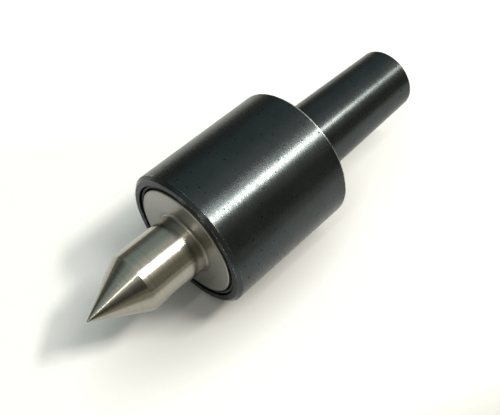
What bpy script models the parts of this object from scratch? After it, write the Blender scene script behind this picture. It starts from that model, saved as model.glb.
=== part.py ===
"""Live center: a 60 degree point that turns in a body with a Morse taper shank.

The object's axis is Y. The point looks along -Y and the shank runs along +Y.
The origin is on the axis, in the plane where the shank leaves the body.
Places along the axis are called y, and distances from it are called radii.
"""

import math

import bmesh
import bpy
from mathutils import Matrix

MM = 0.001

# Clearances
SEAT_GAP = 0.25 * MM
ROLLING_GAP = 0.1 * MM
POCKET_GAP = 0.12 * MM
SEAL_RUNNING_GAP = 0.4 * MM

# Front ball bearing
FRONT_BORE = 12.0 * MM
FRONT_OUTER = 28.0 * MM
FRONT_WIDTH = 8.0 * MM
FRONT_BALL_COUNT = 8
FRONT_BALL_SHARE = 0.5953
RACE_SHOULDER_SHARE = 0.19
SHIELD_RECESS = 1.0 * MM
SHIELD_RECESS_STEP = 0.4 * MM
SHIELD_THICKNESS = 0.5 * MM
FRONT_CAGE_THICKNESS = 1.4 * MM

# Thrust ball bearing
STEM_STEP = 1.0 * MM
HOUSING_STEP = 2.0 * MM
THRUST_HEIGHT = 9.0 * MM
THRUST_WASHER_THICKNESS = 2.9 * MM
THRUST_BALL_COUNT = 8
THRUST_BALL_SHARE = 0.6803
THRUST_CAGE_THICKNESS = 1.6 * MM
THRUST_CAGE_RIM = 0.45 * MM

# Needle roller bearing
NEEDLE_ROLLER_COUNT = 12
NEEDLE_ROLLER_DIAMETER = 1.4 * MM
NEEDLE_CUP_LENGTH = 10.0 * MM
NEEDLE_CUP_WALL = 0.4 * MM
NEEDLE_CUP_LIP = 0.5 * MM
NEEDLE_CAGE_RAIL = 0.5 * MM
NEEDLE_CAGE_THICKNESS = 0.9 * MM

# Spindle
POINT_ANGLE = math.radians(60.0)
NOSE_DIAMETER = 14.4 * MM
NOSE_LENGTH = 14.5 * MM
NOSE_FILLET = 0.6 * MM
FLANGE_THICKNESS = 4.0 * MM
FLANGE_CHAMFER = 0.25 * MM
FLANGE_RIM_GAP = 1.25 * MM
BEARING_SHOULDER = 1.5 * MM
STEM_BEHIND_NEEDLES = 0.6 * MM
STEM_END_CHAMFER = 0.5 * MM

# Circlip
CIRCLIP_THICKNESS = 1.0 * MM
CIRCLIP_WIDTH = 2.0 * MM
CIRCLIP_GROOVE_DEPTH = 0.4 * MM
CIRCLIP_SIDE_GAP = 0.15 * MM
CIRCLIP_OPENING = math.radians(34.0)
CIRCLIP_LUG_ANGLE = math.radians(16.0)
CIRCLIP_LUG_HEIGHT = 1.3 * MM
CIRCLIP_HOLE_DIAMETER = 1.2 * MM

# Front seal
SEAL_THICKNESS = 1.8 * MM
SEAL_LIP = 0.5 * MM
SEAL_SETBACK = 0.4 * MM

# Body and shank
BODY_LENGTH = 34.7 * MM
MOUTH_STEP = 0.55 * MM
RIM_WALL = 2.2 * MM
RIM_CHAMFER = 0.85 * MM
REAR_CHAMFER = 0.3 * MM
SHANK_ROOT_DIAMETER = 18.0 * MM
SHANK_LENGTH = 37.0 * MM
SHANK_TAPER = 0.04995
SHANK_CHAMFER = 0.5 * MM
BORE_RELIEF = 1.0 * MM
CENTER_HOLE_DIAMETER = 2.5 * MM
CENTER_HOLE_MOUTH = 6.3 * MM
CENTER_HOLE_DEPTH = 4.5 * MM
CENTER_HOLE_ANGLE = math.radians(60.0)
DRILL_ANGLE = math.radians(118.0)

# Facets
BODY_SIDES = 60
BEARING_SIDES = 40
RACE_STEPS = 6
FILLET_STEPS = 3
POCKET_SIDES = 16
BALL_SEGMENTS = 12
BALL_RINGS = 7
ROLLER_SIDES = 12
CIRCLIP_STEPS = 26
MERGE_DISTANCE = 1e-7

# Radii that follow from the sizes above. A ball's size is a share of its bearing's section,
# or of its width where that is smaller, so that its cage keeps a rail on both sides.
front_pitch = (FRONT_BORE + FRONT_OUTER) / 4
front_section = (FRONT_OUTER - FRONT_BORE) / 2
front_ball = FRONT_BALL_SHARE * min(front_section, FRONT_WIDTH) / 2
mouth_radius = FRONT_OUTER / 2 + SEAT_GAP + MOUTH_STEP
body_radius = mouth_radius + RIM_WALL
flange_radius = mouth_radius - FLANGE_RIM_GAP
nose_radius = NOSE_DIAMETER / 2
stem_radius = FRONT_BORE / 2 - SEAT_GAP
shoulder_radius = FRONT_BORE / 2 + BEARING_SHOULDER
thrust_bore = FRONT_BORE - 2 * STEM_STEP
thrust_outer = FRONT_OUTER - 2 * HOUSING_STEP
thrust_pitch = (thrust_bore + thrust_outer) / 4
thrust_ball = THRUST_BALL_SHARE * (thrust_outer - thrust_bore) / 4
thrust_stem_radius = thrust_bore / 2 - SEAT_GAP
needle_race_radius = thrust_bore / 2 - STEM_STEP
needle_radius = NEEDLE_ROLLER_DIAMETER / 2
needle_pitch = needle_race_radius + ROLLING_GAP + needle_radius
cup_inner_radius = needle_pitch + needle_radius + ROLLING_GAP
cup_outer_radius = cup_inner_radius + NEEDLE_CUP_WALL

# Places along the axis that follow from the sizes above, from the front to the rear
rim_y = -BODY_LENGTH
nose_y = rim_y - NOSE_LENGTH
tip_y = nose_y - nose_radius / math.tan(POINT_ANGLE / 2)
flange_back_y = rim_y + FLANGE_THICKNESS
seal_y = flange_back_y + SEAL_RUNNING_GAP
seal_back_y = seal_y + SEAL_THICKNESS
front_bearing_y = seal_back_y + SEAT_GAP
front_middle_y = front_bearing_y + FRONT_WIDTH / 2
front_back_y = front_bearing_y + FRONT_WIDTH
circlip_y = front_back_y + SEAT_GAP
circlip_back_y = circlip_y + CIRCLIP_THICKNESS
stem_step_y = circlip_back_y + 2 * STEM_STEP
thrust_y = stem_step_y + SEAT_GAP
thrust_middle_y = thrust_y + THRUST_HEIGHT / 2
thrust_floor_y = thrust_y + THRUST_HEIGHT + SEAT_GAP
needle_y = thrust_floor_y + 2 * STEM_STEP
needle_middle_y = needle_y + NEEDLE_CUP_LENGTH / 2
needle_back_y = needle_y + NEEDLE_CUP_LENGTH
needle_step_y = needle_y - SEAT_GAP
stem_end_y = needle_back_y + STEM_BEHIND_NEEDLES
bore_floor_y = stem_end_y + BORE_RELIEF


def remove_everything():
    """Empty the file, so that running the script twice gives one object."""
    for old in list(bpy.data.objects):
        bpy.data.objects.remove(old)


def material(name, colour, roughness, metallic):
    """A plain Principled material."""
    made = bpy.data.materials.new(name)
    made.use_nodes = True
    shader = made.node_tree.nodes["Principled BSDF"]
    shader.inputs["Base Color"].default_value = (*colour, 1.0)
    shader.inputs["Roughness"].default_value = roughness
    shader.inputs["Metallic"].default_value = metallic
    return made


def add_object(name, mesh, parent=None, location=(0.0, 0.0, 0.0)):
    """Link a mesh to the scene as a named object, placed relative to its parent."""
    made = bpy.data.objects.new(name, mesh)
    bpy.context.scene.collection.objects.link(made)
    made.parent = parent
    made.location = location
    return made


def add_axis(name, y, parent=None):
    """An empty on the object's axis, which carries the pieces that turn together."""
    axis = add_object(name, None, parent, (0.0, y, 0.0))
    axis.empty_display_size = 5 * MM
    return axis


def finish_mesh(name, shape, look):
    """Turn a bmesh into a mesh with outward faces, smooth shading and a material."""
    bmesh.ops.recalc_face_normals(shape, faces=shape.faces)
    mesh = bpy.data.meshes.new(name)
    shape.to_mesh(mesh)
    shape.free()
    mesh.materials.append(look)
    mesh.shade_smooth()
    mesh.set_sharp_from_angle(angle=math.radians(30.0))
    return mesh


def turned_mesh(name, profile, sides, look, ring=True):
    """Revolve (radius, y) points about the axis. A ring's profile closes on itself."""
    shape = bmesh.new()
    points = [shape.verts.new((radius, y, 0.0)) for radius, y in profile]
    for start, end in zip(points, points[1:]):
        shape.edges.new((start, end))
    if ring:
        shape.edges.new((points[-1], points[0]))
    bmesh.ops.spin(
        shape,
        geom=shape.verts[:] + shape.edges[:],
        cent=(0.0, 0.0, 0.0),
        axis=(0.0, 1.0, 0.0),
        angle=2 * math.pi,
        steps=sides,
        use_merge=True,
    )
    bmesh.ops.remove_doubles(shape, verts=shape.verts, dist=MERGE_DISTANCE)
    return finish_mesh(name, shape, look)


def arc(center, radius, start, end, steps):
    """Points along an arc in the profile plane, with both of its ends."""
    angles = [start + (end - start) * i / steps for i in range(steps + 1)]
    return [(center[0] + radius * math.cos(a), center[1] + radius * math.sin(a)) for a in angles]


def ring_angles(count):
    """The angles of evenly spaced pieces around the axis."""
    return [2 * math.pi * i / count for i in range(count)]


def around_axis(radius, angle, y=0.0):
    """A point at a radius and an angle around the axis."""
    return (radius * math.cos(angle), y, radius * math.sin(angle))


def cut(target, cutter):
    """Cut one object with another, which stays in the file as a guide only."""
    cutter.hide_render = True
    cutter.display_type = "WIRE"
    cutter.hide_viewport = True
    boolean = target.modifiers.new("pockets", "BOOLEAN")
    boolean.operation = "DIFFERENCE"
    boolean.object = cutter


def add_pocket_cutter(name, parent, count, pitch, direction, radius, depth):
    """Round pocket cutters around the axis: direction is "radial" or "axial"."""
    shape = bmesh.new()
    for angle in ring_angles(count):
        made = bmesh.ops.create_cone(
            shape,
            cap_ends=True,
            segments=POCKET_SIDES,
            radius1=radius / math.cos(math.pi / POCKET_SIDES),
            radius2=radius / math.cos(math.pi / POCKET_SIDES),
            depth=depth,
        )
        turn_to(made["verts"], shape, direction, angle)
        bmesh.ops.translate(shape, verts=made["verts"], vec=around_axis(pitch, angle))
    mesh = bpy.data.meshes.new(name)
    shape.to_mesh(mesh)
    shape.free()
    return add_object(name, mesh, parent)


def turn_to(verts, shape, direction, angle):
    """Turn a piece made along Z so that it lies along the axis or points away from it."""
    if direction == "axial":
        turn = Matrix.Rotation(math.radians(90.0), 3, "X")
    else:
        turn = Matrix.Rotation(math.radians(90.0) - angle, 3, "Y")
    bmesh.ops.rotate(shape, verts=verts, cent=(0.0, 0.0, 0.0), matrix=turn)


def add_body(parent):
    """The body with its tapered shank: one turned piece, bored from the front."""
    look = material("black_steel", (0.035, 0.045, 0.05), 0.28, 0.85)
    root = SHANK_ROOT_DIAMETER / 2
    end = root - SHANK_LENGTH * SHANK_TAPER / 2
    hole = CENTER_HOLE_DIAMETER / 2
    hole_mouth = CENTER_HOLE_MOUTH / 2
    cone_depth = (hole_mouth - hole) / math.tan(CENTER_HOLE_ANGLE / 2)
    hole_floor_y = SHANK_LENGTH - cone_depth - CENTER_HOLE_DEPTH
    bearing_bore = FRONT_OUTER / 2 + SEAT_GAP
    thrust_bore_radius = thrust_outer / 2 + SEAT_GAP
    needle_bore = cup_outer_radius + SEAT_GAP
    profile = [
        (0.0, hole_floor_y - hole / math.tan(DRILL_ANGLE / 2)),
        (hole, hole_floor_y),
        (hole, SHANK_LENGTH - cone_depth),
        (hole_mouth, SHANK_LENGTH),
        (end - SHANK_CHAMFER, SHANK_LENGTH),
        (end, SHANK_LENGTH - SHANK_CHAMFER),
        (root, 0.0),
        (body_radius - REAR_CHAMFER, 0.0),
        (body_radius, -REAR_CHAMFER),
        (body_radius, rim_y + RIM_CHAMFER),
        (body_radius - RIM_CHAMFER, rim_y),
        (mouth_radius, rim_y),
        (mouth_radius, seal_back_y),
        (bearing_bore, seal_back_y),
        (bearing_bore, front_back_y + SEAT_GAP),
        (thrust_bore_radius, front_back_y + SEAT_GAP),
        (thrust_bore_radius, thrust_floor_y),
        (needle_bore, thrust_floor_y),
        (needle_bore, bore_floor_y),
        (0.0, bore_floor_y + needle_bore / math.tan(DRILL_ANGLE / 2)),
    ]
    mesh = turned_mesh("body_and_shank", profile, BODY_SIDES, look, ring=False)
    return add_object("body_and_shank", mesh, parent)


def add_spindle(parent):
    """The turning piece: point, nose, flange and the stem that the bearings carry."""
    look = material("ground_steel", (0.62, 0.60, 0.57), 0.3, 1.0)
    fillet = arc(
        (nose_radius + NOSE_FILLET, rim_y - NOSE_FILLET),
        NOSE_FILLET,
        math.pi,
        math.pi / 2,
        FILLET_STEPS,
    )
    groove_radius = stem_radius - CIRCLIP_GROOVE_DEPTH
    profile = [
        (0.0, tip_y),
        (nose_radius, nose_y),
        *fillet,
        (flange_radius - FLANGE_CHAMFER, rim_y),
        (flange_radius, rim_y + FLANGE_CHAMFER),
        (flange_radius, flange_back_y),
        (shoulder_radius, flange_back_y),
        (shoulder_radius, front_bearing_y - SEAT_GAP),
        (stem_radius, front_bearing_y - SEAT_GAP),
        (stem_radius, circlip_y - CIRCLIP_SIDE_GAP),
        (groove_radius, circlip_y - CIRCLIP_SIDE_GAP),
        (groove_radius, circlip_back_y + CIRCLIP_SIDE_GAP),
        (stem_radius, circlip_back_y + CIRCLIP_SIDE_GAP),
        (stem_radius, stem_step_y),
        (thrust_stem_radius, stem_step_y),
        (thrust_stem_radius, needle_step_y),
        (needle_race_radius, needle_step_y),
        (needle_race_radius, stem_end_y - STEM_END_CHAMFER),
        (needle_race_radius - STEM_END_CHAMFER, stem_end_y),
        (0.0, stem_end_y),
    ]
    mesh = turned_mesh("center_spindle", profile, BODY_SIDES, look, ring=False)
    return add_object("center_spindle", mesh, parent)


def add_seal(parent):
    """The rubber cup round the flange, with a lip towards the shoulder it wipes."""
    look = material("seal_rubber", (0.02, 0.02, 0.02), 0.75, 0.0)
    outer = mouth_radius - SEAT_GAP
    inner = shoulder_radius + SEAT_GAP
    wall = flange_radius + SEAL_RUNNING_GAP
    front = rim_y + SEAL_SETBACK
    profile = [
        (inner, seal_y),
        (wall, seal_y),
        (wall, front),
        (outer, front),
        (outer, seal_back_y - SEAT_GAP),
        (inner + 2 * SEAL_LIP, seal_back_y - SEAT_GAP),
        (inner + 2 * SEAL_LIP, seal_y + SEAL_LIP),
        (inner, seal_y + SEAL_LIP),
    ]
    mesh = turned_mesh("front_seal", profile, BEARING_SIDES, look)
    return add_object("front_seal", mesh, parent)


def add_front_rings(housing, spindle):
    """The front bearing's two rings and two shields."""
    look = material("bearing_steel", (0.55, 0.55, 0.56), 0.2, 1.0)
    race = front_ball + ROLLING_GAP
    depth = 2 * RACE_SHOULDER_SHARE * front_ball
    outer_land = front_pitch + front_ball - depth
    inner_land = front_pitch - front_ball + depth
    half = FRONT_WIDTH / 2
    shelf = half - SHIELD_RECESS
    recess = outer_land + SHIELD_RECESS_STEP
    lean = math.acos((outer_land - front_pitch) / race)
    outer_profile = [
        (FRONT_OUTER / 2, -half),
        (FRONT_OUTER / 2, half),
        (recess, half),
        (recess, shelf),
        (outer_land, shelf),
        *arc((front_pitch, 0.0), race, lean, -lean, RACE_STEPS),
        (outer_land, -shelf),
        (recess, -shelf),
        (recess, -half),
    ]
    inner_profile = [
        (FRONT_BORE / 2, half),
        (FRONT_BORE / 2, -half),
        (inner_land, -half),
        *arc((front_pitch, 0.0), race, math.pi + lean, math.pi - lean, RACE_STEPS),
        (inner_land, half),
    ]
    shield_y = shelf + SHIELD_RECESS / 2
    shield_inner = inner_land + SEAT_GAP
    shield_outer = recess - SEAT_GAP
    shield_profile = [
        (shield_inner, -SHIELD_THICKNESS / 2),
        (shield_outer, -SHIELD_THICKNESS / 2),
        (shield_outer, SHIELD_THICKNESS / 2),
        (shield_inner, SHIELD_THICKNESS / 2),
    ]
    place = (0.0, front_middle_y, 0.0)
    outer = turned_mesh("front_outer_ring", outer_profile, BEARING_SIDES, look)
    inner = turned_mesh("front_inner_ring", inner_profile, BEARING_SIDES, look)
    add_object("front_outer_ring", outer, housing, place)
    add_object("front_inner_ring", inner, spindle, place)
    shield_look = material("shield_steel", (0.5, 0.5, 0.5), 0.4, 1.0)
    shield = turned_mesh("bearing_shield", shield_profile, BEARING_SIDES, shield_look)
    add_object("front_shield", shield, housing, (0.0, front_middle_y - shield_y, 0.0))
    add_object("rear_shield", shield, housing, (0.0, front_middle_y + shield_y, 0.0))


def add_balls(prefix, count, radius, pitch, cage_axis):
    """One ball in each pocket of a cage, with its origin at its own centre."""
    look = material(prefix + "_steel", (0.7, 0.7, 0.71), 0.08, 1.0)
    shape = bmesh.new()
    bmesh.ops.create_uvsphere(
        shape, u_segments=BALL_SEGMENTS, v_segments=BALL_RINGS, radius=radius
    )
    mesh = finish_mesh(prefix, shape, look)
    for number, angle in enumerate(ring_angles(count), start=1):
        add_object(f"{prefix}_{number:02d}", mesh, cage_axis, around_axis(pitch, angle))


def add_front_cage(parent):
    """The front bearing's cage: a ring with a round pocket for each ball."""
    look = material("cage_brass", (0.62, 0.45, 0.2), 0.35, 1.0)
    half = FRONT_WIDTH / 2 - SHIELD_RECESS - ROLLING_GAP
    inner = front_pitch - FRONT_CAGE_THICKNESS / 2
    outer = front_pitch + FRONT_CAGE_THICKNESS / 2
    profile = [(inner, half), (inner, -half), (outer, -half), (outer, half)]
    mesh = turned_mesh("front_cage", profile, BEARING_SIDES, look)
    cage = add_object("front_cage", mesh, parent)
    pockets = add_pocket_cutter(
        "front_pockets",
        parent,
        FRONT_BALL_COUNT,
        front_pitch,
        "radial",
        front_ball + POCKET_GAP,
        3 * FRONT_CAGE_THICKNESS,
    )
    cut(cage, pockets)


def add_circlip(parent):
    """The open spring ring in the stem's groove, with two lugs for pliers."""
    look = material("spring_steel", (0.12, 0.12, 0.13), 0.35, 1.0)
    inner = stem_radius - CIRCLIP_GROOVE_DEPTH + CIRCLIP_SIDE_GAP
    outer = inner + CIRCLIP_WIDTH
    start = CIRCLIP_OPENING / 2
    sweep = 2 * math.pi - CIRCLIP_OPENING
    shape = bmesh.new()
    rows = []
    for i in range(CIRCLIP_STEPS + 1):
        angle = start + sweep * i / CIRCLIP_STEPS
        from_end = min(angle - start, start + sweep - angle)
        lug = CIRCLIP_LUG_HEIGHT if from_end < CIRCLIP_LUG_ANGLE else 0.0
        rows.append(
            [shape.verts.new(around_axis(radius, angle)) for radius in (inner, outer + lug)]
        )
    for (a, b), (c, d) in zip(rows, rows[1:]):
        shape.faces.new((a, b, d, c))
    flat = bmesh.ops.extrude_face_region(shape, geom=shape.faces[:])
    raised = [item for item in flat["geom"] if isinstance(item, bmesh.types.BMVert)]
    bmesh.ops.translate(shape, verts=raised, vec=(0.0, CIRCLIP_THICKNESS, 0.0))
    mesh = finish_mesh("circlip", shape, look)
    clip = add_object("circlip", mesh, parent, (0.0, circlip_y, 0.0))
    add_circlip_holes(clip, parent, outer, start + sweep / CIRCLIP_STEPS / 2)


def add_circlip_holes(clip, parent, outer, angle):
    """The plier holes, one in each lug."""
    shape = bmesh.new()
    for side in (angle, -angle):
        made = bmesh.ops.create_cone(
            shape,
            cap_ends=True,
            segments=POCKET_SIDES,
            radius1=CIRCLIP_HOLE_DIAMETER / 2,
            radius2=CIRCLIP_HOLE_DIAMETER / 2,
            depth=3 * CIRCLIP_THICKNESS,
        )
        turn_to(made["verts"], shape, "axial", side)
        bmesh.ops.translate(shape, verts=made["verts"], vec=around_axis(outer, side))
    mesh = bpy.data.meshes.new("circlip_holes")
    shape.to_mesh(mesh)
    shape.free()
    middle = (0.0, circlip_y + CIRCLIP_THICKNESS / 2, 0.0)
    cut(clip, add_object("circlip_holes", mesh, parent, middle))


def add_thrust_washers(housing, spindle):
    """The thrust bearing's two washers, with their grooves facing each other."""
    look = material("washer_steel", (0.52, 0.52, 0.53), 0.22, 1.0)
    face = THRUST_HEIGHT / 2 - THRUST_WASHER_THICKNESS
    race = thrust_ball + ROLLING_GAP
    lean = math.acos(face / race)
    down = -math.pi / 2
    groove = arc((thrust_pitch, 0.0), race, down - lean, down + lean, RACE_STEPS)
    shaft_profile = [
        (thrust_bore / 2, -THRUST_HEIGHT / 2),
        (thrust_bore / 2, -face),
        *groove,
        (thrust_outer / 2 - STEM_STEP / 2, -face),
        (thrust_outer / 2 - STEM_STEP / 2, -THRUST_HEIGHT / 2),
    ]
    housing_profile = [
        (thrust_bore / 2 + STEM_STEP / 2, THRUST_HEIGHT / 2),
        (thrust_bore / 2 + STEM_STEP / 2, face),
        *[(radius, -y) for radius, y in groove],
        (thrust_outer / 2, face),
        (thrust_outer / 2, THRUST_HEIGHT / 2),
    ]
    place = (0.0, thrust_middle_y, 0.0)
    shaft = turned_mesh("thrust_shaft_washer", shaft_profile, BEARING_SIDES, look)
    fixed = turned_mesh("thrust_housing_washer", housing_profile, BEARING_SIDES, look)
    add_object("thrust_shaft_washer", shaft, spindle, place)
    add_object("thrust_housing_washer", fixed, housing, place)


def add_thrust_cage(parent):
    """The thrust bearing's cage: a flat ring with a round hole for each ball."""
    look = material("thrust_cage_brass", (0.6, 0.44, 0.2), 0.35, 1.0)
    reach = thrust_ball + POCKET_GAP + THRUST_CAGE_RIM
    half = THRUST_CAGE_THICKNESS / 2
    inner = thrust_pitch - reach
    outer = thrust_pitch + reach
    profile = [(inner, half), (inner, -half), (outer, -half), (outer, half)]
    mesh = turned_mesh("thrust_cage", profile, BEARING_SIDES, look)
    cage = add_object("thrust_cage", mesh, parent)
    pockets = add_pocket_cutter(
        "thrust_pockets",
        parent,
        THRUST_BALL_COUNT,
        thrust_pitch,
        "axial",
        thrust_ball + POCKET_GAP,
        3 * THRUST_CAGE_THICKNESS,
    )
    cut(cage, pockets)


def add_needle_cup(parent):
    """The drawn cup in the shank's root, with a lip at each end."""
    look = material("cup_steel", (0.5, 0.5, 0.51), 0.25, 1.0)
    half = NEEDLE_CUP_LENGTH / 2
    inside = half - NEEDLE_CUP_LIP
    lip = needle_pitch - NEEDLE_CAGE_THICKNESS / 4
    profile = [
        (cup_outer_radius, -half),
        (cup_outer_radius, half),
        (lip, half),
        (lip, inside),
        (cup_inner_radius, inside),
        (cup_inner_radius, -inside),
        (lip, -inside),
        (lip, -half),
    ]
    mesh = turned_mesh("needle_cup", profile, BEARING_SIDES, look)
    add_object("needle_cup", mesh, parent, (0.0, needle_middle_y, 0.0))


def add_needle_cage_and_rollers(parent):
    """The needle bearing's cage, with a roller in each of its slots."""
    look = material("needle_cage_steel", (0.45, 0.45, 0.46), 0.4, 1.0)
    half = NEEDLE_CUP_LENGTH / 2 - NEEDLE_CUP_LIP - ROLLING_GAP
    inner = needle_pitch - NEEDLE_CAGE_THICKNESS / 2
    outer = needle_pitch + NEEDLE_CAGE_THICKNESS / 2
    slot_length = 2 * (half - NEEDLE_CAGE_RAIL)
    roller_length = slot_length - 2 * POCKET_GAP
    profile = [(inner, half), (inner, -half), (outer, -half), (outer, half)]
    mesh = turned_mesh("needle_cage", profile, BEARING_SIDES, look)
    cage = add_object("needle_cage", mesh, parent)
    cut(cage, add_slot_cutter(parent, slot_length))

    shape = bmesh.new()
    made = bmesh.ops.create_cone(
        shape,
        cap_ends=True,
        segments=ROLLER_SIDES,
        radius1=needle_radius,
        radius2=needle_radius,
        depth=roller_length,
    )
    turn_to(made["verts"], shape, "axial", 0.0)
    roller_look = material("roller_steel", (0.68, 0.68, 0.69), 0.12, 1.0)
    roller = finish_mesh("needle_roller", shape, roller_look)
    for number, angle in enumerate(ring_angles(NEEDLE_ROLLER_COUNT), start=1):
        place = around_axis(needle_pitch, angle)
        add_object(f"needle_roller_{number:02d}", roller, parent, place)


def add_slot_cutter(parent, length):
    """The boxes that cut the needle cage's slots."""
    width = NEEDLE_ROLLER_DIAMETER + 2 * POCKET_GAP
    shape = bmesh.new()
    for angle in ring_angles(NEEDLE_ROLLER_COUNT):
        made = bmesh.ops.create_cube(shape, size=1.0)
        size = (3 * NEEDLE_CAGE_THICKNESS, length, width)
        bmesh.ops.scale(shape, verts=made["verts"], vec=size)
        turn = Matrix.Rotation(-angle, 3, "Y")
        bmesh.ops.rotate(shape, verts=made["verts"], cent=(0.0, 0.0, 0.0), matrix=turn)
        bmesh.ops.translate(shape, verts=made["verts"], vec=around_axis(needle_pitch, angle))
    mesh = bpy.data.meshes.new("needle_slots")
    shape.to_mesh(mesh)
    shape.free()
    return add_object("needle_slots", mesh, parent)


def build():
    """Make every piece, grouped under the axis that it turns with."""
    remove_everything()
    housing = add_axis("housing", 0.0)
    spindle = add_axis("spindle_axis", 0.0)
    front_axis = add_axis("front_cage_axis", front_middle_y)
    thrust_axis = add_axis("thrust_cage_axis", thrust_middle_y)
    needle_axis = add_axis("needle_cage_axis", needle_middle_y)
    add_body(housing)
    add_spindle(spindle)
    add_seal(housing)
    add_front_rings(housing, spindle)
    add_front_cage(front_axis)
    add_balls("front_ball", FRONT_BALL_COUNT, front_ball, front_pitch, front_axis)
    add_circlip(spindle)
    add_thrust_washers(housing, spindle)
    add_thrust_cage(thrust_axis)
    add_balls("thrust_ball", THRUST_BALL_COUNT, thrust_ball, thrust_pitch, thrust_axis)
    add_needle_cup(housing)
    add_needle_cage_and_rollers(needle_axis)


build()
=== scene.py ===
"""Looks of the live center: fine surfaces, finishes, paper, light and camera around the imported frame."""

import logging
import math
from dataclasses import dataclass
from enum import Enum

import bpy
import numpy as np
from mathutils import Matrix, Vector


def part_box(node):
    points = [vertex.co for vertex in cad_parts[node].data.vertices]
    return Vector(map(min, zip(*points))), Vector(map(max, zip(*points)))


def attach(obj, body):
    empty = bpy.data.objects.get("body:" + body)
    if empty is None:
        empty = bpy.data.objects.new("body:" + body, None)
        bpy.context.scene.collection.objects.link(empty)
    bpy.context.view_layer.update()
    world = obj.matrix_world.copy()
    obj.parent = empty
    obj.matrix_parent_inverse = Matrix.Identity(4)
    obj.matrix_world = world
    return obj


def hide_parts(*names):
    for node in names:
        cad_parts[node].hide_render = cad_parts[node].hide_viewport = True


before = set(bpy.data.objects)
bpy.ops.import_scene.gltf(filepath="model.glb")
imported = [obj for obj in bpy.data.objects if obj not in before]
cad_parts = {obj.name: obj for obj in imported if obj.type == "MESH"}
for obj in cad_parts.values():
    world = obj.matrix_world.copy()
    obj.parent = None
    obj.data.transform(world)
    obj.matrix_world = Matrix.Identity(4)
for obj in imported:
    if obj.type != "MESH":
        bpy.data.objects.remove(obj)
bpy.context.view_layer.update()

MM = 0.001
# Edge breaks: inside a bearing, inside the bores, and where fingers touch.
FINE_EDGE = 0.05 * MM
EDGE = 0.1 * MM
SOFT_EDGE = 0.12 * MM
LOG = logging.getLogger("live_center")

Triple = tuple[float, float, float]
Socket = bpy.types.NodeSocket


class Carrier(Enum):
    """The bodies of the frame that carry more than one piece."""

    HOUSING = "housing"
    SPINDLE = "spindle"


class Slot(Enum):
    """Names of the record's material slots."""

    BLACK_STEEL = "black_steel"
    GROUND_STEEL = "ground_steel"
    SEAL_RUBBER = "seal_rubber"
    BEARING_STEEL = "bearing_steel"
    ROLLING_STEEL = "rolling_steel"
    SHIELD_STEEL = "shield_steel"


# ---- Surfaces


@dataclass(frozen=True)
class Corner:
    """One corner of a turned profile.

    Attributes:
        radius: Distance from the axis, in metres.
        y: Place along the axis, in metres.
        round: Radius of the fillet or edge break at this corner, in metres.
        wear_and_shade: From 0 to 1, how rubbed the edge is on the housing, and how much painted shade darkens
            a fillet or edge of the spindle.
    """

    radius: float
    y: float
    round: float = 0.06 * MM
    wear_and_shade: float = 0.0


def fillet_points(before: np.ndarray, corner: Corner, after: np.ndarray, steps: int) -> np.ndarray:
    """Round a corner with an arc tangent to both of its sides.

    The arc's centre lies on the bisector at round / sin(half angle) from the corner, and the
    tangent points lie at round / tan(half angle) from it along each side.

    Args:
        before: The corner before, as (radius, y).
        corner: The corner to round.
        after: The corner after, as (radius, y).
        steps: Number of segments in the arc.

    Returns:
        Points of the arc as rows of (radius, y).
    """
    here = np.array([corner.radius, corner.y])
    back = (before - here) / np.linalg.norm(before - here)
    ahead = (after - here) / np.linalg.norm(after - here)
    half = 0.5 * math.acos(float(np.clip(back @ ahead, -1.0, 1.0)))
    if corner.round <= 0.0 or half > math.radians(89.0):
        return here[None, :]
    reach = corner.round / math.tan(half)
    limit = 0.45 * min(np.linalg.norm(before - here), np.linalg.norm(after - here))
    radius = corner.round * min(1.0, limit / reach)
    middle = here + (back + ahead) / np.linalg.norm(back + ahead) * radius / math.sin(half)
    first = here + back * radius / math.tan(half) - middle
    last = here + ahead * radius / math.tan(half) - middle
    start = math.atan2(first[1], first[0])
    turn = (math.atan2(last[1], last[0]) - start + math.pi) % (2 * math.pi) - math.pi
    angles = start + turn * np.linspace(0.0, 1.0, steps + 1)
    return middle + radius * np.stack([np.cos(angles), np.sin(angles)], axis=1)


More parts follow.
